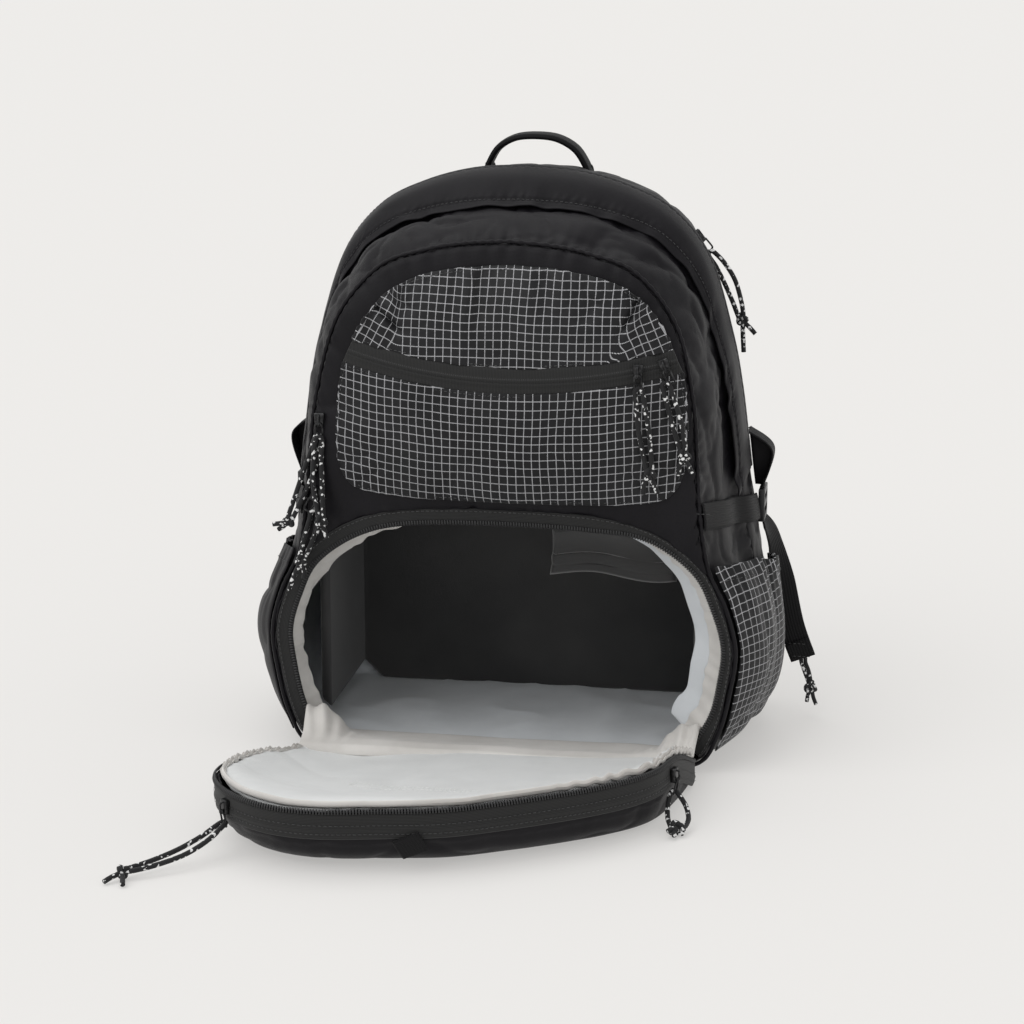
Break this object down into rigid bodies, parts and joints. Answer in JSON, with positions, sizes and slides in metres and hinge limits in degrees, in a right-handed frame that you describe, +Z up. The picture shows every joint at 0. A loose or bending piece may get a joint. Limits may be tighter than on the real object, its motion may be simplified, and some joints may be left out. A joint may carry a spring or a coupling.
{
  "type": "backpack",
  "caption": "Soft black backpack standing upright with its lower front door unzipped and folded down on the floor.",
  "frame": {"origin": "centre of the flat base of the bag's body, midway between its back face and its front face", "axes": "+Z up, -Y out of the front face, where the door lies, +X to the right as seen from the front"},
  "size_m": [0.4501, 0.5193, 0.4608],
  "materials": {
    "black_nylon": "plain weave nylon",
    "grid_cloth": "ripstop weave with a fine light grid",
    "black_webbing": "ribbed webbing",
    "grey_lining": "light grey lining",
    "cord_braid": "black braid with white flecks",
    "zip_coil": "nylon coil",
    "black_plastic": "moulded",
    "black_metal": "painted black"
  },
  "bodies": {
    "root": {"back_panel": "black_nylon", "body_shell": "black_nylon", "front_gusset": "black_nylon", "storm_flap": "black_nylon", "front_panel": "black_nylon", "pocket_lower": "grid_cloth", "pocket_zip": "black_nylon", "pocket_upper": "grid_cloth", "opening_tape": "black_nylon", "opening_coil": "zip_coil", "opening_lining": "grey_lining", "compartment_liner": "grey_lining", "padded_insert": "black_nylon", "door_shell": "black_nylon", "door_lining": "grey_lining", "door_tape": "black_nylon", "door_coil": "zip_coil", "door_tab": "black_webbing", "bottle_pocket_right": "grid_cloth", "bottle_pocket_left": "grid_cloth", "side_band_right": "black_webbing", "side_band_left": "black_webbing", "ladder_lock_right": "black_plastic", "ladder_lock_left": "black_plastic", "lock_loop_right": "black_webbing", "lock_loop_left": "black_webbing", "strap_tail_right": "black_webbing", "strap_tail_left": "black_webbing", "shoulder_strap_right": "black_nylon", "shoulder_strap_left": "black_nylon", "shoulder_lock_right": "black_plastic", "shoulder_lock_left": "black_plastic", "shoulder_webbing_right": "black_webbing", "shoulder_webbing_left": "black_webbing", "grab_handle": "black_webbing", "pocket_slider_left": "black_metal", "pocket_slider_right": "black_metal", "main_slider_right": "black_metal", "main_slider_left": "black_metal", "lower_slider_left": "black_metal", "door_slider_left": "black_metal", "door_slider_right": "black_metal", "pull_cord_pocket_left": "cord_braid", "pull_cord_pocket_right": "cord_braid", "pull_cord_main_right": "cord_braid", "pull_cord_left_outer": "cord_braid", "pull_cord_left_inner": "cord_braid", "pull_cord_left_lower": "cord_braid", "pull_cord_door_left": "cord_braid", "pull_cord_door_right": "cord_braid", "pull_knot_pocket_left": "cord_braid", "pull_knot_pocket_right": "cord_braid", "pull_knot_main_right": "cord_braid", "pull_knot_left_outer": "cord_braid", "pull_knot_left_inner": "cord_braid", "pull_knot_left_lower": "cord_braid", "pull_knot_door_left": "cord_braid", "pull_knot_door_right": "cord_braid", "tail_cord": "cord_braid", "tail_knot": "cord_braid"}
  },
  "joints": []
}
